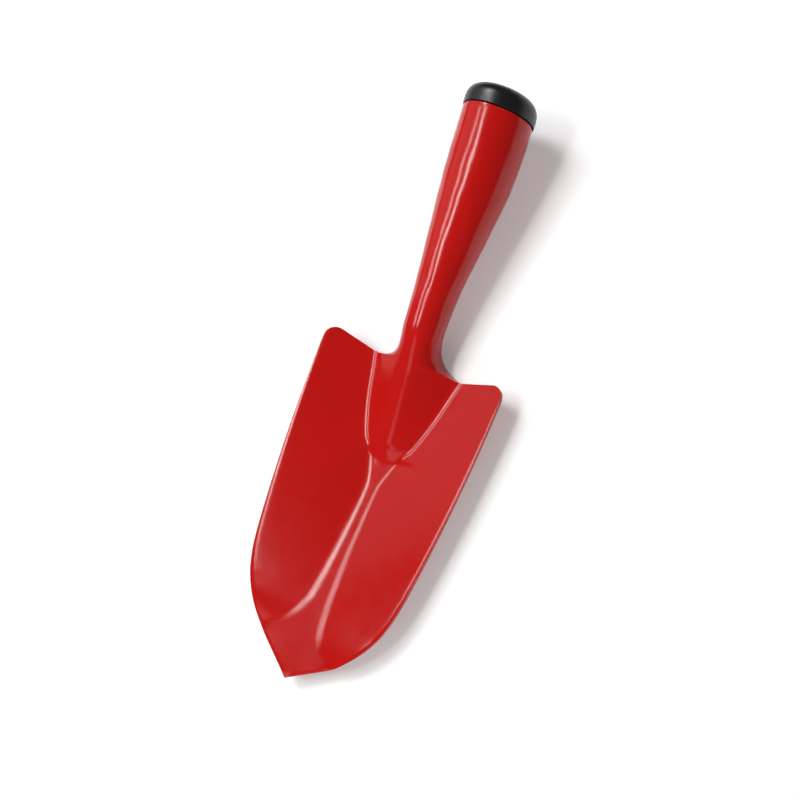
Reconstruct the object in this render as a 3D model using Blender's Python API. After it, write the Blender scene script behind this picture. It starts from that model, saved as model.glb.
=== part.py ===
"""Garden trowel: blade and tubular handle in one pressed and rolled steel sheet, closed by a plastic plug.

The trowel is first built level: the tip is at y = 0, the handle runs towards +Y, and the upper side of
the blade's floor is at z = 0. An empty then lays it down as it lies on a table, on the heel of the
blade and the lowest points behind it, with the origin under the middle of its box.
"""

import math

import bmesh
import bpy
from mathutils import Matrix, Vector

# Sheet
SHEET_THICKNESS = 0.0014

# Blade outline, and the roll of its cut edge
BLADE_LENGTH = 0.1395
BLADE_WIDTH = 0.0854
TIP_HALF_ANGLE = 56.4
SIDE_DRAW = 0.0132
HAUNCH_DROP = 0.0270
HAUNCH_LENGTH = 0.0498
HAUNCH_POWER = 2.6
HAUNCH_BLEND = 0.0010
SHOULDER_RADIUS = 0.0053
SHOULDER_RISE = 0.0031
EDGE_ROLL = 0.0003
EDGE_BAND = 0.0022

# Blade floor, its two folds and the flanks beside them
FLOOR_WIDTH = 0.0044
FOLD_SWEEP = 0.0076
SWEEP_START = 0.0082
LEFT_SWEEP_START = 0.0302
LEFT_SWEEP_SLOPE = 0.55
LEFT_SWEEP_BLEND = 0.0080
SWEEP_LEAST_RUN = 0.0010
FOLD_RADIUS_TIP = 0.0400
FOLD_RADIUS_NOSE = 0.0100
FLANK_ANGLE_TIP = 11.3
FLANK_ANGLE_SHOULDER = 23.8
FLANK_EVEN_LENGTH = 0.0300

# Tongue: the ridge that carries the handle's line down into the blade
TONGUE_LENGTH = 0.0415
NOSE_ANGLE = 58.0
NOSE_HEIGHT = 0.0042
NOSE_TOP_RADIUS = 0.0040
RIDGE_ANGLE = 21.8
RIDGE_STRAIGHT = 0.0320
FACET_ANGLE_NOSE = 18.0
FACET_ANGLE_NECK = 36.0
CREST_RADIUS = 0.0080
VALLEY_RADIUS = 0.0045
WEB_LENGTH = 0.0130
WEB_RISE = 0.0014
WEB_BLEND = 0.0003
CLOSING_POWER = 3.3

# Handle, measured along its straight top from the shoulder line
HANDLE_HEIGHT = 0.0142
HANDLE_ANGLE = 16.3
HANDLE_LENGTH = 0.0993
NECK_LENGTH = 0.0127
NECK_DIAMETER = 0.0173
GRIP_DIAMETER = 0.0296
SWELL_START = 0.0233
SWELL_FOOT = 0.31
SWELL_TOP = 0.25
GRIP_STRAIGHT = 0.0239
SEAM_GAP = 0.0008
END_LEAN = 9.5

# Plug
PLUG_HEAD_LENGTH = 0.0099
PLUG_CROWN = 0.0005
PLUG_FLAT_RADIUS = 0.0040
PLUG_EDGE_RADIUS = 0.0054
PLUG_OVERHANG = 0.0003
PLUG_FACE_THICKNESS = 0.0030
SPIGOT_LENGTH = 0.0330
SPIGOT_WALL = 0.0018
RIB_COUNT = 4
RIB_HEIGHT = 0.0010
RIB_WIDTH = 0.0030
RIB_LEAD_IN = 0.0024
FIT_CLEARANCE = 0.0003

# Colours
SHEET_COLOUR = "#B8211D"
SHEET_ROUGHNESS = 0.25
PLUG_COLOUR = "#232326"
PLUG_ROUGHNESS = 0.45

# Fineness of the meshes
CREST_STEPS = 4
FACET_STEPS = 6
VALLEY_STEPS = 4
FOOT_STEPS = 3
FLANK_STEPS = 3
RIM_STEPS = 3
FOLD_BAND = 0.0022
BAND_SHARE = 0.3
CREST_SHARE = 0.4
TIP_STRIP_SHARE = 0.7
TIP_ROWS_END = 0.0340
TIP_ROWS = 18
FLOOR_ROWS = 8
WEB_ROWS = 5
NOSE_LEAD = 0.0020
NOSE_ROWS = 9
TONGUE_ROWS = 8
CORNER_ROWS = 5
NECK_ROWS = 10
HANDLE_ROWS = 14
PLUG_SEGMENTS = 36
CROWN_STEPS = 3
EDGE_STEPS = 5
SLOPE_STEP = 0.0005
MERGE_DISTANCE = 0.00001
SHARP_ANGLE = 40.0

# Counts and places that follow from the values above
STRIP_STEPS = CREST_STEPS + FACET_STEPS + VALLEY_STEPS
NECK_Y = BLADE_LENGTH - SHOULDER_RISE
NOSE_Y = BLADE_LENGTH - TONGUE_LENGTH
RIDGE_END_Y = NOSE_Y + RIDGE_STRAIGHT


def lerp(start, end, share):
    """The value that lies at this share of the way from start to end."""
    return start + (end - start) * share


def ease(share):
    """A share of 0 to 1 that starts and ends gently."""
    share = min(max(share, 0.0), 1.0)
    return share * share * (3.0 - 2.0 * share)


def spaced(start, end, count):
    """Evenly spaced values after start, up to and including end."""
    return [lerp(start, end, step / count) for step in range(1, count + 1)]


def tangent(degrees):
    """Rise per unit of run of a slope given in degrees."""
    return math.tan(math.radians(degrees))


def blend_max(first, second, reach):
    """The higher of two surfaces, with a fillet where they lie within reach of each other."""
    overlap = max(reach - abs(first - second), 0.0)
    return max(first, second) + overlap * overlap / (4.0 * reach)


def blend_min(first, second, reach):
    """The lower of two surfaces, rounded where they lie within reach of each other."""
    return -blend_max(-first, -second, reach)


def fillet_reach(radius, slope_change):
    """The reach that gives a blend of two slopes this radius."""
    return radius * slope_change * slope_change / 2.0


def outline_half_width(y):
    """Half width of the blade's upper side: straight edges at the tip, round haunches, drawn-in sides.

    The underside reaches a little further out, because the flanks stand at an angle.
    """
    tip_edge = y * tangent(TIP_HALF_ANGLE)
    edge_angle = math.atan(tangent(FLANK_ANGLE_SHOULDER) - 2.0 * EDGE_ROLL / EDGE_BAND)
    widest = BLADE_WIDTH / 2.0 - SHEET_THICKNESS * math.sin(edge_angle)
    side = widest - SIDE_DRAW * (1.0 - y / BLADE_LENGTH) ** 2
    haunch = HAUNCH_DROP * max(1.0 - y / HAUNCH_LENGTH, 0.0) ** HAUNCH_POWER
    half_width = blend_min(tip_edge, side - haunch, HAUNCH_BLEND)
    into_corner = y - (BLADE_LENGTH - SHOULDER_RADIUS)
    if into_corner > 0.0:
        into_corner = min(into_corner, SHOULDER_RADIUS)
        half_width -= SHOULDER_RADIUS - math.sqrt(SHOULDER_RADIUS ** 2 - into_corner ** 2)
    return half_width


def edge_roll(x, y):
    """How far the sheet is rolled down near the edge at which the press cut it."""
    ahead = outline_half_width(y + SLOPE_STEP)
    behind = outline_half_width(y - SLOPE_STEP)
    edge_turn = math.hypot(1.0, (ahead - behind) / (2.0 * SLOPE_STEP))
    from_edge = (outline_half_width(y) - abs(x)) / edge_turn
    return EDGE_ROLL * max(1.0 - from_edge / EDGE_BAND, 0.0) ** 2


def fold_half_width(y, side):
    """Distance from the middle to where a flank's plane meets the floor. It sweeps out at the tip.

    The left fold, whose side is negative, sweeps out sooner than the right one.
    """
    past_start = max(y - SWEEP_START, SWEEP_LEAST_RUN)
    half_width = FLOOR_WIDTH / 2.0 + FOLD_SWEEP ** 2 / past_start
    if side < 0.0:
        half_width += LEFT_SWEEP_SLOPE * blend_max(0.0, LEFT_SWEEP_START - y, LEFT_SWEEP_BLEND)
    return half_width


def flank_slope(y):
    """Slope of the flanks: even along the haunches, then standing up more towards the shoulders."""
    along = max(y - FLANK_EVEN_LENGTH, 0.0) / (BLADE_LENGTH - FLANK_EVEN_LENGTH)
    return tangent(lerp(FLANK_ANGLE_TIP, FLANK_ANGLE_SHOULDER, along))


def fold_radius(y):
    """Radius of the folds: broad at the tip, tighter at the tongue's nose."""
    return lerp(FOLD_RADIUS_TIP, FOLD_RADIUS_NOSE, min(y / NOSE_Y, 1.0))


def floor_height(y):
    """The floor is flat up to the web, a small ramp that spreads into the tongue's nose."""
    ramp = (y - (NOSE_Y - WEB_LENGTH)) * WEB_RISE / WEB_LENGTH
    return blend_max(0.0, ramp, WEB_BLEND)


def facet_slope(y):
    """Slope of the tongue's two sides, which stand up more towards the neck."""
    along = (y - NOSE_Y) / (NECK_Y - NOSE_Y)
    return tangent(lerp(FACET_ANGLE_NOSE, FACET_ANGLE_NECK, min(max(along, 0.0), 1.0)))


def swell(along):
    """How far the tube has swelled, 0 at the neck to 1 at the grip, at a distance along the handle.

    It is a cone whose foot and top are rounded, over these shares of the whole swell.
    """
    ramp = (along - SWELL_START) / (HANDLE_LENGTH - GRIP_STRAIGHT - SWELL_START)
    return blend_min(blend_max(0.0, ramp, SWELL_FOOT), 1.0, SWELL_TOP)


def tube_radius(along):
    """Outer radius of the tube at a distance along the handle."""
    return lerp(NECK_DIAMETER, GRIP_DIAMETER, swell(along)) / 2.0


def axis_point(along):
    """Point on the tube's axis. It sinks as the tube swells, so that the handle's top stays straight."""
    angle = math.radians(HANDLE_ANGLE)
    sag = tube_radius(along) - NECK_DIAMETER / 2.0
    y = BLADE_LENGTH + along * math.cos(angle) + sag * math.sin(angle)
    z = HANDLE_HEIGHT + along * math.sin(angle) - sag * math.cos(angle)
    return y, z


def axis_angle(along):
    """Angle of the tube's axis above the blade's floor, in radians."""
    y_behind, z_behind = axis_point(along - SLOPE_STEP)
    y_ahead, z_ahead = axis_point(along + SLOPE_STEP)
    return math.atan2(z_ahead - z_behind, y_ahead - y_behind)


def tube_point(along, around):
    """Point on the tube's outside, at an angle around it from its top."""
    y, z = axis_point(along)
    angle = axis_angle(along)
    radius = tube_radius(along)
    rise = radius * math.cos(around)
    return radius * math.sin(around), y - rise * math.sin(angle), z + rise * math.cos(angle)


def tube_step_angle(along):
    """Angle of one step round the tube, from its top to the edge beside the seam."""
    half_seam = math.asin(SEAM_GAP / (2.0 * tube_radius(along)))
    return (math.pi - half_seam) / STRIP_STEPS


def neck_crown_height(y):
    """The crown's line between the end of the tongue's straight ridge and the start of the tube."""
    _, start_y, start_z = tube_point(NECK_LENGTH, 0.0)
    _, ahead_y, ahead_z = tube_point(NECK_LENGTH + SLOPE_STEP, 0.0)
    end_slope = (ahead_z - start_z) / (ahead_y - start_y)
    run = start_y - RIDGE_END_Y
    share = (y - RIDGE_END_Y) / run
    ridge_end_z = NOSE_HEIGHT + RIDGE_STRAIGHT * tangent(RIDGE_ANGLE)
    rise = lerp(ridge_end_z, start_z, ease(share))
    leave = tangent(RIDGE_ANGLE) * run * share * (1.0 - share) ** 2
    arrive = end_slope * run * share ** 2 * (1.0 - share)
    return rise + leave - arrive


def crown_height(y):
    """Height of the tongue's crown: a steep nose, a straight ridge, then the rise into the neck."""
    nose = (y - NOSE_Y) * tangent(NOSE_ANGLE)
    if y > RIDGE_END_Y:
        return neck_crown_height(y)
    ridge = NOSE_HEIGHT + (y - NOSE_Y) * tangent(RIDGE_ANGLE)
    slope_change = tangent(NOSE_ANGLE) - tangent(RIDGE_ANGLE)
    return blend_min(nose, ridge, fillet_reach(NOSE_TOP_RADIUS, slope_change))


def crown_slope(y):
    """Slope of the crown's line along the trowel."""
    return (crown_height(y + SLOPE_STEP) - crown_height(y - SLOPE_STEP)) / (2.0 * SLOPE_STEP)


def crest_reach(y):
    """Reach of the rounding along the tongue's crest, where its two sides meet."""
    return fillet_reach(CREST_RADIUS, 2.0 * facet_slope(y))


def blade_height(x, y):
    """Height of the sheet's upper side over the blade: floor, flanks, tongue, fillets and edge."""
    across = abs(x)
    slope = flank_slope(y)
    flank = (across - fold_half_width(y, x)) * slope
    dish = blend_max(floor_height(y), flank, fillet_reach(fold_radius(y), slope))
    side = across * facet_slope(y)
    tongue = crown_height(y) + crest_reach(y) / 4.0 - blend_max(side, -side, crest_reach(y))
    meeting_slope = math.hypot(facet_slope(y) + slope, crown_slope(y))
    pressed = blend_max(dish, tongue, fillet_reach(VALLEY_RADIUS, meeting_slope))
    return pressed - edge_roll(x, y)


def strip_half_width(y, side):
    """Width of one side of the middle strip: the floor up to its fold, or the tongue to its valley."""
    floor_strip = fold_half_width(y, side) + floor_height(y) / flank_slope(y)
    apex = crown_height(y) + crest_reach(y) / 4.0
    fold_drop = fold_half_width(y, side) * flank_slope(y)
    tongue_strip = (apex + fold_drop) / (facet_slope(y) + flank_slope(y))
    return min(max(floor_strip, tongue_strip), TIP_STRIP_SHARE * outline_half_width(y))


def strip_places(y, side):
    """Distances from the middle at which one side of the middle strip has its points."""
    edge = strip_half_width(y, side)
    band = min(FOLD_BAND, BAND_SHARE * edge)
    crest = min(CREST_RADIUS * facet_slope(y), CREST_SHARE * edge)
    places = [0.0] + spaced(0.0, crest, CREST_STEPS)
    places += spaced(crest, edge - band, FACET_STEPS)
    places += spaced(edge - band, edge, VALLEY_STEPS)
    return places


def wing_places(strip_edge, blade_edge):
    """Distances from the middle at which a wing of the blade has its points."""
    most = BAND_SHARE * (blade_edge - strip_edge)
    foot = strip_edge + min(FOLD_BAND, most)
    rim = blade_edge - min(EDGE_BAND, most)
    places = spaced(strip_edge, foot, FOOT_STEPS)
    places += spaced(foot, rim, FLANK_STEPS)
    return places + spaced(rim, blade_edge, RIM_STEPS)


def blade_row(y, side):
    """Points of one half row across the blade, from the middle to its left edge, -1, or its right, 1.

    Near the shoulders the outer end of a row runs ahead of its inner end, as the blade's top edge does.
    """
    inner = strip_places(y, side)
    strip_edge = inner[-1]
    lead = SHOULDER_RISE * ease((y - NOSE_Y) / (NECK_Y - NOSE_Y))
    blade_edge = outline_half_width(min(y + lead, BLADE_LENGTH))
    row = [(side * x, y, blade_height(side * x, y)) for x in inner]
    for x in wing_places(strip_edge, blade_edge):
        outward = (x - strip_edge) / (blade_edge - strip_edge)
        row_y = y + lead * outward
        row.append((side * x, row_y, blade_height(side * x, row_y)))
    return row


def blade_stations():
    """Places along the blade of its rows, closer together at the point, the nose and the shoulders."""
    stations = spaced(0.0, TIP_ROWS_END, TIP_ROWS)
    stations += spaced(TIP_ROWS_END, NOSE_Y - WEB_LENGTH, FLOOR_ROWS)
    stations += spaced(NOSE_Y - WEB_LENGTH, NOSE_Y - NOSE_LEAD, WEB_ROWS)
    nose_end = NOSE_Y + 2.0 * NOSE_HEIGHT
    stations += spaced(NOSE_Y - NOSE_LEAD, nose_end, NOSE_ROWS)
    corner_start = NECK_Y - SHOULDER_RADIUS
    stations += spaced(nose_end, corner_start, TONGUE_ROWS)
    corner_turns = spaced(0.0, math.pi / 2.0, CORNER_ROWS)
    stations += [corner_start + SHOULDER_RADIUS * math.sin(turn) for turn in corner_turns]
    return stations


def walk_section(headings, lengths):
    """Points of half a section, from the crown outwards and down, as (distance out, distance down)."""
    out, down = 0.0, 0.0
    points = [(out, down)]
    for heading, length in zip(headings, lengths):
        out += length * math.cos(heading)
        down += length * math.sin(heading)
        points.append((out, down))
    return points


def place_section(section, crown_y, crown_z, tilt):
    """Half a section hung from its crown, in a plane that leans back with the handle."""
    return [(out, crown_y + down * math.sin(tilt), crown_z - down * math.cos(tilt))
            for out, down in section]


def neck_rows(last_blade_row):
    """Half rows through the neck, where the tongue's strip of sheet curls round into the tube."""
    strip = last_blade_row[:STRIP_STEPS + 1]
    steps = [(b[0] - a[0], a[2] - b[2]) for a, b in zip(strip, strip[1:])]
    open_headings = [math.atan2(down, out) for out, down in steps]
    open_lengths = [math.hypot(out, down) for out, down in steps]
    turn = tube_step_angle(NECK_LENGTH)
    closed_headings = [(step + 0.5) * turn for step in range(STRIP_STEPS)]
    closed_length = 2.0 * tube_radius(NECK_LENGTH) * math.sin(turn / 2.0)
    end_y = tube_point(NECK_LENGTH, 0.0)[1]
    rows = []
    for share in spaced(0.0, 1.0, NECK_ROWS):
        closing = 1.0 - (1.0 - share) ** CLOSING_POWER
        headings = [lerp(a, b, closing) for a, b in zip(open_headings, closed_headings)]
        lengths = [lerp(length, closed_length, ease(share)) for length in open_lengths]
        y = lerp(NECK_Y, end_y, share)
        tilt = axis_angle(NECK_LENGTH) * ease(share)
        rows.append(place_section(walk_section(headings, lengths), y, neck_crown_height(y), tilt))
    return rows


def handle_rows():
    """Half rows along the rolled tube. They lean more and more, up to the leaning cut of its end."""
    rows = []
    for along in spaced(NECK_LENGTH, HANDLE_LENGTH, HANDLE_ROWS):
        lean = tangent(END_LEAN) * ease((along - NECK_LENGTH) / (HANDLE_LENGTH - NECK_LENGTH))
        row = []
        for step in range(STRIP_STEPS + 1):
            around = step * tube_step_angle(along)
            ahead = along + lean * tube_radius(along) * math.cos(around)
            row.append(tube_point(ahead, around))
        rows.append(row)
    return rows


def mirrored(row):
    """The left half row that is the mirror image of this right one."""
    return [(-x, y, z) for x, y, z in row]


def add_full_row(bm, left, right):
    """Vertices of a whole row, from its left edge over the middle to its right edge."""
    return [bm.verts.new(point) for point in left[:0:-1] + right]


def join_rows(bm, lower, upper):
    """Faces between two rows. The shorter row meets the middle of the longer one."""
    trim = (len(lower) - len(upper)) // 2
    lower = lower[trim:len(lower) - trim]
    for column in range(len(lower) - 1):
        bm.faces.new((lower[column], lower[column + 1], upper[column + 1], upper[column]))


def srgb_to_linear(hex_colour):
    """Linear colour, with alpha, of an sRGB hex value."""
    channels = [int(hex_colour[place:place + 2], 16) / 255.0 for place in (1, 3, 5)]
    linear = [c / 12.92 if c <= 0.04045 else ((c + 0.055) / 1.055) ** 2.4 for c in channels]
    return (*linear, 1.0)


def make_material(name, hex_colour, roughness):
    """A plain surface of one colour."""
    material = bpy.data.materials.new(name)
    material.use_nodes = True
    shader = material.node_tree.nodes["Principled BSDF"]
    shader.inputs["Base Color"].default_value = srgb_to_linear(hex_colour)
    shader.inputs["Roughness"].default_value = roughness
    return material


def make_object(name, bm, material):
    """A smooth shaded object of this mesh in the scene."""
    mesh = bpy.data.meshes.new(name)
    bm.to_mesh(mesh)
    bm.free()
    mesh.shade_smooth()
    mesh.set_sharp_from_angle(angle=math.radians(SHARP_ANGLE))
    mesh.materials.append(material)
    piece = bpy.data.objects.new(name, mesh)
    bpy.context.scene.collection.objects.link(piece)
    return piece


def make_trowel_body():
    """The pressed and rolled sheet: its upper side as a grid of rows, thickened downwards."""
    bm = bmesh.new()
    left_rows = [blade_row(y, -1.0) for y in blade_stations()]
    right_rows = [blade_row(y, 1.0) for y in blade_stations()]
    tube_rows = neck_rows(right_rows[-1]) + handle_rows()
    left_rows += [mirrored(row) for row in tube_rows]
    right_rows += tube_rows
    rows = [add_full_row(bm, left, right) for left, right in zip(left_rows, right_rows)]
    tip = bm.verts.new((0.0, 0.0, 0.0))
    for left, right in zip(rows[0], rows[0][1:]):
        bm.faces.new((tip, right, left))
    for lower, upper in zip(rows, rows[1:]):
        join_rows(bm, lower, upper)
    enamel = make_material("red_enamelled_steel", SHEET_COLOUR, SHEET_ROUGHNESS)
    body = make_object("trowel_body", bm, enamel)
    sheet = body.modifiers.new("sheet", "SOLIDIFY")
    sheet.thickness = SHEET_THICKNESS
    sheet.offset = -1.0
    sheet.use_even_offset = True
    sheet.use_quality_normals = True
    return body


def spigot_radius(height):
    """Radius that clears the tube's wall at this height, which is negative inside the tube.

    The tube narrows inwards from below only, so a straight spigot loses twice what the radius loses.
    """
    along = HANDLE_LENGTH + height - GRIP_DIAMETER / 2.0 * tangent(END_LEAN)
    room = 2.0 * tube_radius(along) - GRIP_DIAMETER / 2.0
    flat_of_step = room * math.cos(tube_step_angle(along) / 2.0)
    return flat_of_step - SHEET_THICKNESS - FIT_CLEARANCE


def plug_profile():
    """Half section of the plug as (radius, height), from the middle of its face round to its inside."""
    head_radius = GRIP_DIAMETER / 2.0 + PLUG_OVERHANG
    arc_radius = head_radius - PLUG_EDGE_RADIUS
    arc_height = PLUG_HEAD_LENGTH - PLUG_CROWN - PLUG_EDGE_RADIUS
    profile = [(0.0, PLUG_HEAD_LENGTH), (PLUG_FLAT_RADIUS, PLUG_HEAD_LENGTH)]
    for share in spaced(0.0, 1.0, CROWN_STEPS):
        profile.append((lerp(PLUG_FLAT_RADIUS, arc_radius, share),
                        PLUG_HEAD_LENGTH - PLUG_CROWN * share ** 2))
    for angle in spaced(math.pi / 2.0, 0.0, EDGE_STEPS):
        profile.append((arc_radius + PLUG_EDGE_RADIUS * math.cos(angle),
                        arc_height + PLUG_EDGE_RADIUS * math.sin(angle)))
    seat = FIT_CLEARANCE + SHEET_THICKNESS * tangent(END_LEAN)
    profile.append((head_radius, seat))
    profile.append((spigot_radius(0.0) - RIB_HEIGHT, seat))
    rib_pitch = SPIGOT_LENGTH / (RIB_COUNT + 1)
    for rib in range(1, RIB_COUNT + 1):
        rib_end = -rib * rib_pitch
        core = spigot_radius(rib_end) - RIB_HEIGHT
        profile.append((core, rib_end + RIB_WIDTH))
        profile.append((core + RIB_HEIGHT, rib_end + RIB_LEAD_IN))
        profile.append((core, rib_end))
    end_radius = spigot_radius(-SPIGOT_LENGTH) - RIB_HEIGHT
    mouth_radius = spigot_radius(0.0) - RIB_HEIGHT - SPIGOT_WALL
    profile.append((end_radius, -SPIGOT_LENGTH))
    profile.append((end_radius - SPIGOT_WALL, -SPIGOT_LENGTH))
    profile.append((mouth_radius, 0.0))
    profile.append((mouth_radius, PLUG_HEAD_LENGTH - PLUG_FACE_THICKNESS))
    profile.append((0.0, PLUG_HEAD_LENGTH - PLUG_FACE_THICKNESS))
    return profile


def make_end_plug():
    """The moulded plug: its half section spun about the tube's axis, then leaned like the tube's end."""
    bm = bmesh.new()
    ring = [bm.verts.new((radius, 0.0, height)) for radius, height in plug_profile()]
    edges = [bm.edges.new(pair) for pair in zip(ring, ring[1:])]
    bmesh.ops.spin(bm, geom=ring + edges, cent=(0.0, 0.0, 0.0), axis=(0.0, 0.0, 1.0),
                   angle=2.0 * math.pi, steps=PLUG_SEGMENTS, use_merge=True)
    bmesh.ops.remove_doubles(bm, verts=bm.verts, dist=MERGE_DISTANCE)
    bmesh.ops.recalc_face_normals(bm, faces=bm.faces)
    for vertex in bm.verts:
        vertex.co.z -= vertex.co.y * tangent(END_LEAN)
    plastic = make_material("black_moulded_plastic", PLUG_COLOUR, PLUG_ROUGHNESS)
    plug = make_object("end_plug", bm, plastic)
    end_y, end_z = axis_point(HANDLE_LENGTH)
    plug.location = (0.0, end_y, end_z)
    plug.rotation_euler = (axis_angle(HANDLE_LENGTH) - math.pi / 2.0, 0.0, 0.0)
    return plug


def side_view(pieces):
    """Every corner of the finished pieces as (y, z), and the y of the middle of their surfaces."""
    bpy.context.view_layer.update()
    depsgraph = bpy.context.evaluated_depsgraph_get()
    points = []
    total_area = 0.0
    total_moment = 0.0
    for piece in pieces:
        finished = piece.evaluated_get(depsgraph)
        mesh = finished.to_mesh()
        corners = [piece.matrix_world @ vertex.co for vertex in mesh.vertices]
        points += [(corner.y, corner.z) for corner in corners]
        for face in mesh.polygons:
            total_area += face.area
            total_moment += face.area * (piece.matrix_world @ face.center).y
        finished.to_mesh_clear()
    return sorted(points), total_moment / total_area


def turns_down(first, middle, last):
    """Whether the middle point lies on or above the line from the first to the last."""
    run = (middle[0] - first[0], middle[1] - first[1])
    turn = (last[0] - middle[0], last[1] - middle[1])
    return run[0] * turn[1] - run[1] * turn[0] <= 0.0


def resting_points(points, middle_y):
    """The two lowest points that a table touches: the edge of the outline under the trowel's middle."""
    lower = []
    for point in points:
        while len(lower) > 1 and turns_down(lower[-2], lower[-1], point):
            lower.pop()
        lower.append(point)
    for front, back in zip(lower, lower[1:]):
        if front[0] <= middle_y <= back[0]:
            return front, back


def lay_down(body, plug):
    """Parent the pieces to an empty that sets the trowel on a table, centred over the origin."""
    points, _ = side_view([body, plug])
    _, middle_of_sheet = side_view([body])
    front, back = resting_points(points, middle_of_sheet)
    pitch = -math.atan2(back[1] - front[1], back[0] - front[0])
    turn = Matrix.Rotation(pitch, 3, "X")
    laid = [turn @ Vector((0.0, y, z)) for y, z in points]
    middle_y = (min(p.y for p in laid) + max(p.y for p in laid)) / 2.0
    lowest_z = min(p.z for p in laid)
    stand = bpy.data.objects.new("trowel_lying_down", None)
    bpy.context.scene.collection.objects.link(stand)
    stand.rotation_euler = (pitch, 0.0, 0.0)
    stand.location = (0.0, -middle_y, -lowest_z)
    body.parent = stand
    plug.parent = stand


def main():
    for old in list(bpy.data.objects):
        bpy.data.objects.remove(old, do_unlink=True)
    lay_down(make_trowel_body(), make_end_plug())


main()
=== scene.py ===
"""Garden trowel: the looks of its enamelled sheet and moulded plug, and the studio that shows it.

The file is laid out as an add-on and is run as a script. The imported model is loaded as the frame, each of
its two nodes is replaced by a finer piece of the same form, and the stage is set up round them.
"""

import math

import bpy
from bpy.props import FloatProperty, FloatVectorProperty, IntProperty, PointerProperty
from mathutils import Matrix, Vector


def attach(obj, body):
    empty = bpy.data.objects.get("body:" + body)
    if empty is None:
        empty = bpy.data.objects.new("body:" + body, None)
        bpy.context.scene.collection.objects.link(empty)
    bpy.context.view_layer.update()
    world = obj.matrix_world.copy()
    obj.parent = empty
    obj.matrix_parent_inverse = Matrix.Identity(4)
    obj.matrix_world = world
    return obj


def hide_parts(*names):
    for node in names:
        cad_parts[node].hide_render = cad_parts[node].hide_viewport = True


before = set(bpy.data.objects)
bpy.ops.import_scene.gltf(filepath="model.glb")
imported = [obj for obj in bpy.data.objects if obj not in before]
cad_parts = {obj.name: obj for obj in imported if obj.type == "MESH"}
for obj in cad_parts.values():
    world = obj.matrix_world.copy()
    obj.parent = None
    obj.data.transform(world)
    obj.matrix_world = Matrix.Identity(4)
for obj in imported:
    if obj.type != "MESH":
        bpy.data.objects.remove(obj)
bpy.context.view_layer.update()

bl_info = {
    "name": "Garden Trowel",
    "version": (1, 0, 0),
    "blender": (4, 5, 0),
    "location": "View3D > Sidebar > Trowel",
    "description": "Builds an enamelled sheet steel garden trowel and the studio round it",
    "category": "Object",
}

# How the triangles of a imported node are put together: corners nearer than this, in metres, are one, and
# two triangles that turn and differ by less than these angles, in degrees, become one four-sided face
MERGE_DISTANCE = 0.00001
JOIN_TURN = 50.0
JOIN_SHAPE = 60.0

# Edges that turn by more than this angle, in degrees, are rounded with this many faces
SHEET_EDGE_TURN = 60.0
SHEET_EDGE_FACES = 3
PLUG_EDGE_TURN = 40.0
PLUG_EDGE_FACES = 2

# Refractive index of the two finishes
ENAMEL_IOR = 1.42
PLASTIC_IOR = 1.46

# How far apart the patches and waves of the finishes are, in metres
FILM_PATCH = 0.045
GLOSS_PATCH = 0.006
PRESS_WAVE = 0.018
DUST_PATCH = 0.009

# How much less and more rough than its set roughness each finish is in patches
ENAMEL_SPREAD = (0.04, 0.05)
PLASTIC_SPREAD = (0.05, 0.07)

# Side of the square of background paper, in metres
PAPER_SIZE = 6.0

# The lamps, all a metre away: name, name of the setting for the power, tilt from straight above, bearing
# turned from +X towards +Y, both in degrees, width and depth in metres
LAMPS = (
    ("window_lamp", "window_power", 30.0, 140.0, 0.36, 0.34),
    ("top_lamp", "top_power", 15.5, 190.0, 0.24, 0.14),
    ("bend_lamp", "bend_power", 19.5, 221.0, 0.16, 0.1),
    ("side_lamp", "side_power", 37.0, 188.0, 0.34, 0.16),
    ("tip_lamp", "tip_power", 45.0, 258.0, 0.3, 0.5),
    ("wall", "wall_power", 62.0, 165.0, 0.7, 0.6),
    ("fill_lamp", "fill_power", 72.0, 293.0, 0.8, 0.5),
)

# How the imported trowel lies: turned about X in degrees, and where its tip is in metres
LYING_PITCH = -4.6746
TIP_PLACE = Vector((0.0, -0.124264, 0.008267))

# The camera, as seen from a trowel that isn't turned and has its tip at the origin: its axes, its place in
# metres and a last turn about its own upright axis in degrees
CAMERA_RIGHT = Vector((0.83013, 0.41714, -0.36997))
CAMERA_UP = Vector((-0.33282, 0.90308, 0.27144))
CAMERA_BACK = Vector((0.44734, -0.10218, 0.88851))
CAMERA_PLACE = Vector((0.18558, 0.07879, 0.37821))
CAMERA_YAW = 0.045
SENSOR_WIDTH = 36.0
NEAREST_SEEN = 0.01


def linear(hex_colour):
    """Linear red, green and blue of an sRGB hex value."""
    channels = [int(hex_colour[place:place + 2], 16) / 255.0 for place in (1, 3, 5)]
    return [c / 12.92 if c <= 0.04045 else ((c + 0.055) / 1.055) ** 2.4 for c in channels]


def add_node(tree, kind, settings=None, inputs=None):
    """One new node. An input is a value, or an output socket to link from."""
    node = tree.nodes.new(kind)
    for name, value in (settings or {}).items():
        setattr(node, name, value)
    for name, value in (inputs or {}).items():
        socket = node.inputs[name]
        if isinstance(value, bpy.types.NodeSocket):
            tree.links.new(value, socket)
        else:
            socket.default_value = value
    return node


def lamp_power(label, lamp, watts):
    """The setting for the power of one lamp."""
    return FloatProperty(
        name=label, description="Power of " + lamp,
        unit="POWER", min=0.0, max=100.0, default=watts)


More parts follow.
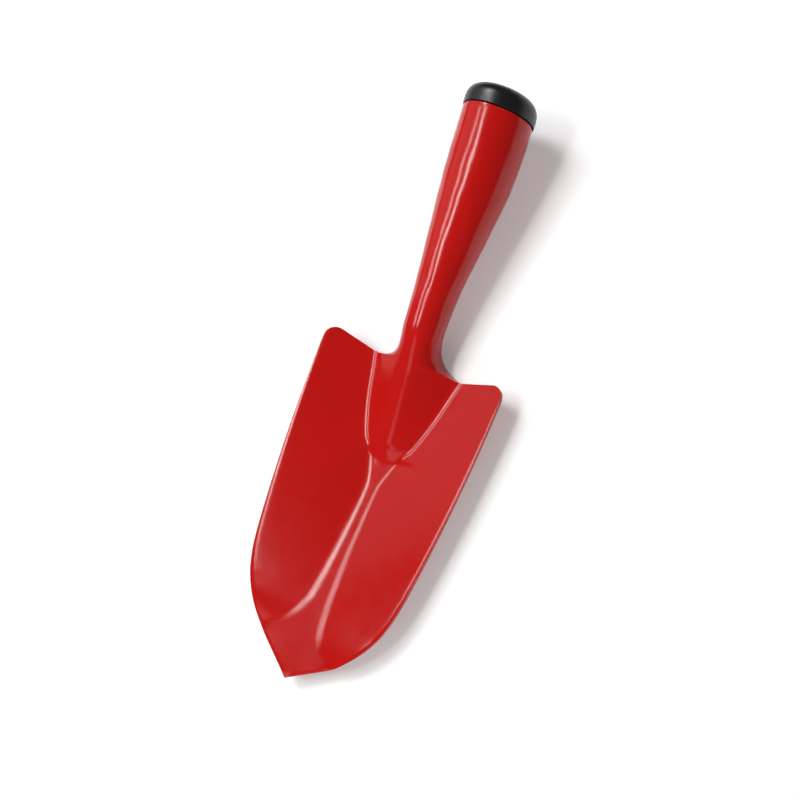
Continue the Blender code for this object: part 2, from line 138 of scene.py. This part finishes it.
def copy_of_node(node, name):
    """A new piece in edit mode with the mesh of a CAD node, its triangles joined to four-sided faces."""
    piece = bpy.data.objects.new(name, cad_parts[node].data.copy())
    piece.data.name = name
    piece.data.materials.clear()
    bpy.context.scene.collection.objects.link(piece)
    bpy.ops.object.select_all(action="DESELECT")
    piece.select_set(True)
    bpy.context.view_layer.objects.active = piece
    bpy.ops.object.mode_set(mode="EDIT")
    bpy.ops.mesh.select_mode(type="EDGE")
    bpy.ops.mesh.select_all(action="SELECT")
    bpy.ops.mesh.remove_doubles(threshold=MERGE_DISTANCE)
    bpy.ops.mesh.customdata_custom_splitnormals_clear()
    bpy.ops.mesh.tris_convert_to_quads(
        face_threshold=math.radians(JOIN_TURN), shape_threshold=math.radians(JOIN_SHAPE))
    return piece


def round_sharp_edges(turn, radius, faces):
    """Bevel the edges of the mesh in edit mode at which its faces turn by more than the angle."""
    bpy.ops.mesh.select_all(action="DESELECT")
    bpy.ops.mesh.edges_select_sharp(sharpness=math.radians(turn))
    bpy.ops.mesh.bevel(offset=radius, segments=faces, profile=0.5, clamp_overlap=True)


def finish_piece(piece, material, levels):
    """Subdivide the piece, shade it smooth, give it its material and clear the selection."""
    bpy.ops.object.mode_set(mode="OBJECT")
    smooth = piece.modifiers.new("smooth", "SUBSURF")
    smooth.levels = levels
    smooth.render_levels = levels
    bpy.ops.object.modifier_apply(modifier=smooth.name)
    bpy.ops.object.shade_smooth()
    piece.data.materials.append(material)
    bpy.ops.object.select_all(action="DESELECT")


def dent_handle(piece, sheet):
    """Move the handle's skin in and out a little, as rolling the sheet round leaves it."""
    group = piece.vertex_groups.new(name="rolled_handle")
    for vertex in piece.data.vertices:
        share = (vertex.co.y - sheet.rolled_from) / sheet.rolled_blend
        if share > 0.0:
            group.add([vertex.index], min(share, 1.0), "REPLACE")
    cloud = bpy.data.textures.new("rolled_unevenness", "CLOUDS")
    cloud.noise_scale = sheet.dent_size
    cloud.noise_depth = 1
    dents = piece.modifiers.new("dents", "DISPLACE")
    dents.texture = cloud
    dents.texture_coords = "LOCAL"
    dents.vertex_group = group.name
    dents.mid_level = 0.5
    dents.strength = sheet.dent_depth
    bpy.context.view_layer.objects.active = piece
    bpy.ops.object.modifier_apply(modifier=dents.name)


def enamel_material(sheet):
    """Stoved gloss enamel, sprayed on pressed mild steel.

    The eye gets a deep even red, a clear highlight with a faint orange peel in it, a slow waviness from
    the press, and a film that is a shade thinner here and there.
    """
    material = bpy.data.materials.new("red_stoved_enamel")
    material.use_nodes = True
    tree = material.node_tree
    shader = tree.nodes["Principled BSDF"]
    place = add_node(tree, "ShaderNodeTexCoord").outputs["Object"]
    cloud = add_node(tree, "ShaderNodeTexNoise", {}, {
        "Vector": place, "Scale": 1.0 / FILM_PATCH, "Detail": 3.0, "Roughness": 0.5})
    film = add_node(tree, "ShaderNodeMix", {"data_type": "RGBA"}, {
        "Factor": cloud.outputs["Fac"], "A": (*sheet.thin_colour, 1.0), "B": (*sheet.colour, 1.0)})
    patches = add_node(tree, "ShaderNodeTexNoise", {}, {
        "Vector": place, "Scale": 1.0 / GLOSS_PATCH, "Detail": 4.0, "Roughness": 0.6})
    less, more = ENAMEL_SPREAD
    gloss = add_node(tree, "ShaderNodeMapRange", {}, {
        "Value": patches.outputs["Fac"], "To Min": sheet.roughness - less, "To Max": sheet.roughness + more})
    peel = add_node(tree, "ShaderNodeTexNoise", {}, {
        "Vector": place, "Scale": 1.0 / sheet.peel_size, "Detail": 1.0, "Roughness": 0.4})
    wave = add_node(tree, "ShaderNodeTexNoise", {}, {
        "Vector": place, "Scale": 1.0 / PRESS_WAVE, "Detail": 1.0})
    press = add_node(tree, "ShaderNodeBump", {}, {
        "Height": wave.outputs["Fac"], "Distance": sheet.wave_height, "Strength": 1.0})
    skin = add_node(tree, "ShaderNodeBump", {}, {
        "Height": peel.outputs["Fac"], "Distance": sheet.peel_height, "Strength": 1.0,
        "Normal": press.outputs["Normal"]})
    tree.links.new(film.outputs["Result"], shader.inputs["Base Color"])
    tree.links.new(gloss.outputs["Result"], shader.inputs["Roughness"])
    tree.links.new(skin.outputs["Normal"], shader.inputs["Normal"])
    shader.inputs["IOR"].default_value = ENAMEL_IOR
    return material


def plastic_material(plug):
    """Black polypropylene, injection moulded in a spark-eroded mould.

    The eye gets a soft satin sheen with a fine even grain, and a little dust grey where it was handled.
    A real grain of this kind is too fine to show, so it is drawn several times as coarse.
    """
    material = bpy.data.materials.new("black_moulded_polypropylene")
    material.use_nodes = True
    tree = material.node_tree
    shader = tree.nodes["Principled BSDF"]
    place = add_node(tree, "ShaderNodeTexCoord").outputs["Object"]
    cloud = add_node(tree, "ShaderNodeTexNoise", {}, {
        "Vector": place, "Scale": 1.0 / DUST_PATCH, "Detail": 4.0, "Roughness": 0.6})
    tone = add_node(tree, "ShaderNodeMix", {"data_type": "RGBA"}, {
        "Factor": cloud.outputs["Fac"], "A": (*plug.colour, 1.0), "B": (*plug.dusty_colour, 1.0)})
    less, more = PLASTIC_SPREAD
    gloss = add_node(tree, "ShaderNodeMapRange", {}, {
        "Value": cloud.outputs["Fac"], "To Min": plug.roughness - less, "To Max": plug.roughness + more})
    grain = add_node(tree, "ShaderNodeTexVoronoi", {}, {
        "Vector": place, "Scale": 1.0 / plug.grain_size})
    skin = add_node(tree, "ShaderNodeBump", {}, {
        "Height": grain.outputs["Distance"], "Distance": plug.grain_height, "Strength": 1.0})
    tree.links.new(tone.outputs["Result"], shader.inputs["Base Color"])
    tree.links.new(gloss.outputs["Result"], shader.inputs["Roughness"])
    tree.links.new(skin.outputs["Normal"], shader.inputs["Normal"])
    shader.inputs["IOR"].default_value = PLASTIC_IOR
    return material


def paper_material(stage):
    """Matt white background paper. It takes the trowel's shadow, and shows white where none falls."""
    material = bpy.data.materials.new("white_background_paper")
    material.use_nodes = True
    tree = material.node_tree
    shader = tree.nodes["Principled BSDF"]
    shader.inputs["Roughness"].default_value = 1.0
    shader.inputs["Base Color"].default_value = (*stage.paper_colour, 1.0)
    rays = add_node(tree, "ShaderNodeLightPath")
    mirrored = add_node(tree, "ShaderNodeMath", {"operation": "MAXIMUM"}, {
        0: rays.outputs["Is Glossy Ray"], 1: rays.outputs["Is Transmission Ray"]})
    seen = add_node(tree, "ShaderNodeMath", {"operation": "MAXIMUM"}, {
        0: rays.outputs["Is Camera Ray"], 1: mirrored.outputs[0]})
    glow = add_node(tree, "ShaderNodeMath", {"operation": "MULTIPLY"}, {
        0: seen.outputs[0], 1: stage.paper_glow})
    shader.inputs["Emission Color"].default_value = (1.0, 1.0, 1.0, 1.0)
    tree.links.new(glow.outputs[0], shader.inputs["Emission Strength"])
    return material


class TrowelSheetProperties(bpy.types.PropertyGroup):
    """Sizes and finish of the enamelled sheet."""

    colour: FloatVectorProperty(
        name="Enamel", description="Colour of the enamel at its full thickness",
        subtype="COLOR", size=3, min=0.0, max=1.0, default=linear("#BA120E"))
    thin_colour: FloatVectorProperty(
        name="Thin enamel", description="Colour of the enamel where its film is thinner",
        subtype="COLOR", size=3, min=0.0, max=1.0, default=linear("#B00E0B"))
    roughness: FloatProperty(
        name="Roughness", description="Roughness of the enamel",
        min=0.05, max=0.9, default=0.15)
    edge_radius: FloatProperty(
        name="Edge radius", description="Radius to which the enamel rounds the sheet's edges",
        subtype="DISTANCE", unit="LENGTH", min=0.0001, max=0.0006, default=0.0005)
    peel_size: FloatProperty(
        name="Orange peel size", description="Distance between the bumps of the orange peel",
        subtype="DISTANCE", unit="LENGTH", min=0.0005, max=0.006, default=0.0022)
    peel_height: FloatProperty(
        name="Orange peel height", description="Height of the orange peel's bumps",
        subtype="DISTANCE", unit="LENGTH", min=0.0, max=0.0002, precision=6, default=0.000012)
    wave_height: FloatProperty(
        name="Press wave height", description="Height of the slow waves that the press leaves in the sheet",
        subtype="DISTANCE", unit="LENGTH", min=0.0, max=0.001, precision=6, default=0.0001)
    rolled_from: FloatProperty(
        name="Rolled from", description="Place along the trowel from which the rolled handle is uneven",
        subtype="DISTANCE", unit="LENGTH", min=-0.1, max=0.1, default=0.02)
    rolled_blend: FloatProperty(
        name="Rolled blend", description="Length over which the unevenness grows to its full depth",
        subtype="DISTANCE", unit="LENGTH", min=0.001, max=0.05, default=0.02)
    dent_size: FloatProperty(
        name="Dent size", description="Distance over which the handle's skin goes in and out",
        subtype="DISTANCE", unit="LENGTH", min=0.002, max=0.05, default=0.006)
    dent_depth: FloatProperty(
        name="Dent depth", description="Most that the handle's skin goes from its lowest to its highest",
        subtype="DISTANCE", unit="LENGTH", min=0.0, max=0.001, precision=6, default=0.00045)
    levels: IntProperty(
        name="Subdivision", description="How many times the packed mesh is subdivided",
        min=1, max=3, default=1)


class TrowelPlugProperties(bpy.types.PropertyGroup):
    """Sizes and finish of the moulded plug."""

    colour: FloatVectorProperty(
        name="Plastic", description="Colour of the plastic",
        subtype="COLOR", size=3, min=0.0, max=1.0, default=linear("#0F0F11"))
    dusty_colour: FloatVectorProperty(
        name="Handled plastic", description="Colour of the plastic where handling has greyed it",
        subtype="COLOR", size=3, min=0.0, max=1.0, default=linear("#19191C"))
    roughness: FloatProperty(
        name="Roughness", description="Roughness of the plastic",
        min=0.05, max=0.9, default=0.32)
    edge_radius: FloatProperty(
        name="Edge radius", description="Radius of the moulding's small edges",
        subtype="DISTANCE", unit="LENGTH", min=0.00005, max=0.0005, default=0.0002)
    grain_size: FloatProperty(
        name="Grain size", description="Distance between the grains of the eroded mould, as drawn",
        subtype="DISTANCE", unit="LENGTH", min=0.0002, max=0.002, default=0.0005)
    grain_height: FloatProperty(
        name="Grain height", description="Depth of the grain of the eroded mould",
        subtype="DISTANCE", unit="LENGTH", min=0.0, max=0.0001, precision=6, default=0.00001)
    levels: IntProperty(
        name="Subdivision", description="How many times the packed mesh is subdivided",
        min=1, max=3, default=2)


class TrowelStageProperties(bpy.types.PropertyGroup):
    """The paper, the lamps and the camera."""

    paper_colour: FloatVectorProperty(
        name="Paper", description="Colour of the background paper",
        subtype="COLOR", size=3, min=0.0, max=1.0, default=linear("#EDEDED"))
    paper_glow: FloatProperty(
        name="Paper glow", description="How much the paper is lifted towards white, seen or mirrored",
        min=0.0, max=1.0, default=0.2)
    window_power: lamp_power("Window lamp", "the soft lamp above and behind the trowel on its left", 5.7)
    top_power: lamp_power("Top lamp", "the small lamp almost straight above the trowel", 1.7)
    bend_power: lamp_power("Bend lamp", "the small lamp that draws the left fold past its bend", 0.55)
    side_power: lamp_power("Side lamp", "the long lamp on the left that draws the right fold", 1.4)
    tip_power: lamp_power("Tip lamp", "the soft lamp in front of the trowel's tip", 0.5)
    wall_power: lamp_power("Wall", "the pale wall on the left", 0.75)
    fill_power: lamp_power("Fill lamp", "the low lamp in front of the trowel", 5.3)
    room_light: FloatProperty(
        name="Room light", description="Strength of the even light of the room",
        min=0.0, max=2.0, default=0.1)
    focal_length: FloatProperty(
        name="Focal length", description="Focal length of the camera in millimetres",
        min=10.0, max=200.0, default=45.845)


class TROWEL_OT_sheet(bpy.types.Operator):
    """Build the pressed sheet: blade, tongue and rolled handle with rounded, enamelled edges"""

    bl_idname = "trowel.sheet"
    bl_label = "Enamelled sheet"

    def execute(self, context):
        sheet = context.scene.trowel_sheet
        piece = copy_of_node("trowel_body", "enamelled_sheet")
        round_sharp_edges(SHEET_EDGE_TURN, sheet.edge_radius, SHEET_EDGE_FACES)
        finish_piece(piece, enamel_material(sheet), sheet.levels)
        dent_handle(piece, sheet)
        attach(piece, "root")
        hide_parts("trowel_body")
        return {"FINISHED"}


class TROWEL_OT_plug(bpy.types.Operator):
    """Build the moulded plug that closes the handle"""

    bl_idname = "trowel.plug"
    bl_label = "Moulded plug"

    def execute(self, context):
        plug = context.scene.trowel_plug
        piece = copy_of_node("end_plug", "moulded_plug")
        round_sharp_edges(PLUG_EDGE_TURN, plug.edge_radius, PLUG_EDGE_FACES)
        finish_piece(piece, plastic_material(plug), plug.levels)
        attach(piece, "root")
        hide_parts("end_plug")
        return {"FINISHED"}


class TROWEL_OT_stage(bpy.types.Operator):
    """Set up the white paper, the lamps, the room's light and the camera"""

    bl_idname = "trowel.stage"
    bl_label = "Studio"

    def execute(self, context):
        stage = context.scene.trowel_stage
        self.lay_paper(stage)
        for name, setting, tilt, bearing, width, depth in LAMPS:
            self.hang_lamp(context, name, tilt, bearing, width, depth, getattr(stage, setting))
        self.light_room(context, stage)
        self.place_camera(context, stage)
        context.scene.view_settings.view_transform = "Standard"
        return {"FINISHED"}

    def lay_paper(self, stage):
        bpy.ops.object.select_all(action="DESELECT")
        bpy.ops.mesh.primitive_plane_add(size=PAPER_SIZE, location=(0.0, 0.0, 0.0))
        paper = bpy.context.active_object
        paper.name = "background_paper"
        paper.data.materials.append(paper_material(stage))

    def hang_lamp(self, context, name, tilt, bearing, width, depth, power):
        """One lamp a metre from the origin, turned to face it."""
        tilt, bearing = math.radians(tilt), math.radians(bearing)
        aside = math.sin(tilt)
        place = Vector((aside * math.cos(bearing), aside * math.sin(bearing), math.cos(tilt)))
        data = bpy.data.lights.new(name, "AREA")
        data.shape = "RECTANGLE"
        data.size = width
        data.size_y = depth
        data.energy = power
        lamp = bpy.data.objects.new(name, data)
        lamp.location = place
        lamp.rotation_euler = place.to_track_quat("Z", "Y").to_euler()
        context.scene.collection.objects.link(lamp)

    def light_room(self, context, stage):
        world = bpy.data.worlds.new("studio_room")
        world.use_nodes = True
        background = world.node_tree.nodes["Background"]
        background.inputs["Color"].default_value = (1.0, 1.0, 1.0, 1.0)
        background.inputs["Strength"].default_value = stage.room_light
        context.scene.world = world

    def place_camera(self, context, stage):
        lie = Matrix.Translation(TIP_PLACE) @ Matrix.Rotation(math.radians(LYING_PITCH), 4, "X")
        turn = Matrix((CAMERA_RIGHT, CAMERA_UP, CAMERA_BACK)).transposed().to_4x4()
        yaw = Matrix.Rotation(math.radians(CAMERA_YAW), 4, "Y")
        data = bpy.data.cameras.new("camera")
        data.lens = stage.focal_length
        data.sensor_width = SENSOR_WIDTH
        data.clip_start = NEAREST_SEEN
        camera = bpy.data.objects.new("camera", data)
        camera.matrix_world = lie @ Matrix.Translation(CAMERA_PLACE) @ turn @ yaw
        context.scene.collection.objects.link(camera)
        context.scene.camera = camera


class TROWEL_PT_sidebar(bpy.types.Panel):
    """Lists the trowel's pieces and their settings"""

    bl_idname = "TROWEL_PT_sidebar"
    bl_label = "Garden Trowel"
    bl_space_type = "VIEW_3D"
    bl_region_type = "UI"
    bl_category = "Trowel"

    def draw(self, context):
        layout = self.layout
        for settings, operator in ((context.scene.trowel_sheet, TROWEL_OT_sheet),
                                   (context.scene.trowel_plug, TROWEL_OT_plug),
                                   (context.scene.trowel_stage, TROWEL_OT_stage)):
            box = layout.box()
            for name in settings.__annotations__:
                box.prop(settings, name)
            box.operator(operator.bl_idname)


CLASSES = (TrowelSheetProperties, TrowelPlugProperties, TrowelStageProperties,
           TROWEL_OT_sheet, TROWEL_OT_plug, TROWEL_OT_stage, TROWEL_PT_sidebar)


def register():
    for cls in CLASSES:
        bpy.utils.register_class(cls)
    bpy.types.Scene.trowel_sheet = PointerProperty(type=TrowelSheetProperties)
    bpy.types.Scene.trowel_plug = PointerProperty(type=TrowelPlugProperties)
    bpy.types.Scene.trowel_stage = PointerProperty(type=TrowelStageProperties)


def unregister():
    del bpy.types.Scene.trowel_stage
    del bpy.types.Scene.trowel_plug
    del bpy.types.Scene.trowel_sheet
    for cls in reversed(CLASSES):
        bpy.utils.unregister_class(cls)


def main():
    register()
    bpy.ops.trowel.sheet()
    bpy.ops.trowel.plug()
    bpy.ops.trowel.stage()


if __name__ == "__main__":
    main()
